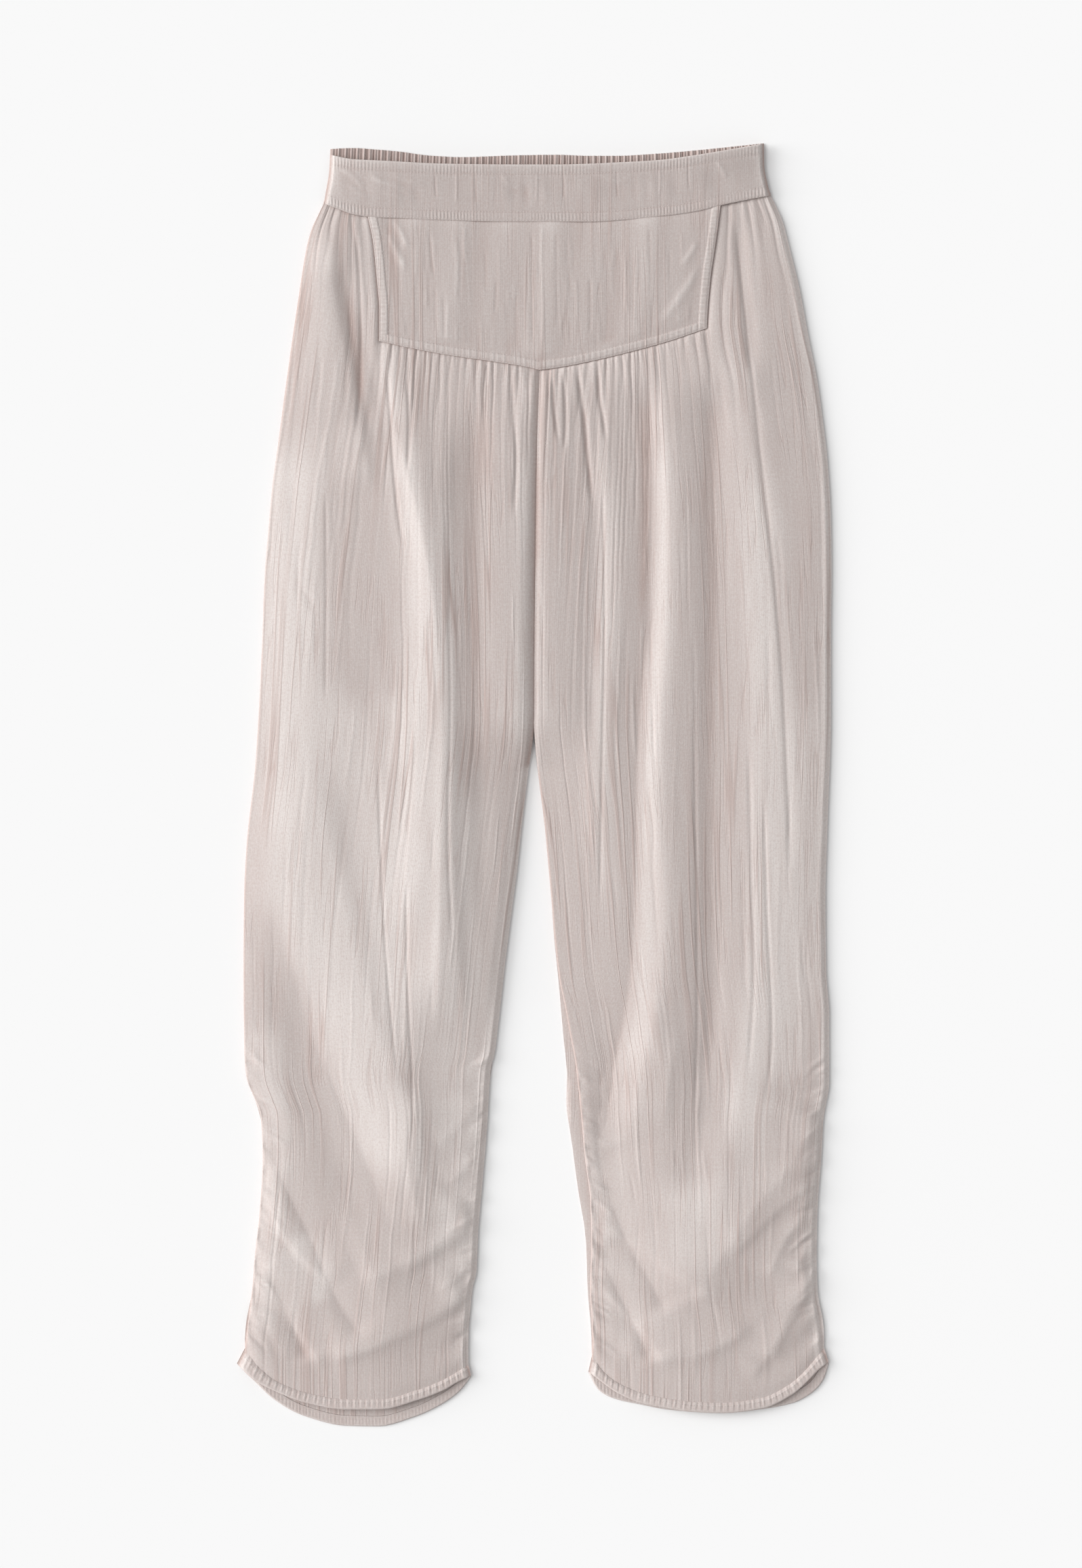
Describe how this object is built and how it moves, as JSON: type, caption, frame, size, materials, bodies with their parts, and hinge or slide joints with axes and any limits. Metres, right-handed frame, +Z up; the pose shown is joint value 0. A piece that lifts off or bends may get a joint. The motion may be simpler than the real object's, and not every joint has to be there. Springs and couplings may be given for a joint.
{
  "type": "harem trousers",
  "caption": "Full harem trousers of crinkled double gauze laid flat, with a flat front waistband, elastic back, pointed yoke over gathers and ruched lower legs.",
  "frame": {"origin": "centre of the footprint, on the surface the trousers lie on", "axes": "+X to the right seen from above, +Y towards the waistband, +Z up from the surface"},
  "size_m": [0.4564, 0.9856, 0.0202],
  "materials": {
    "leg_gauze": "matt crinkled cotton double gauze, pale pinkish beige",
    "yoke_gauze": "matt cotton double gauze, laid smooth, with a topstitched border",
    "band_gauze": "matt cotton double gauze over a facing, topstitched in self colour",
    "hem_gauze": "matt cotton double gauze turned twice and topstitched, finely puckered"
  },
  "bodies": {
    "root": {"waistband_front": "band_gauze", "waistband_back": "band_gauze", "yoke_front": "yoke_gauze", "leg_front_left": "leg_gauze", "leg_front_right": "leg_gauze", "leg_back_left": "leg_gauze", "leg_back_right": "leg_gauze", "hem_front_left": "hem_gauze", "hem_front_right": "hem_gauze", "hem_back_left": "hem_gauze", "hem_back_right": "hem_gauze"}
  },
  "joints": []
}
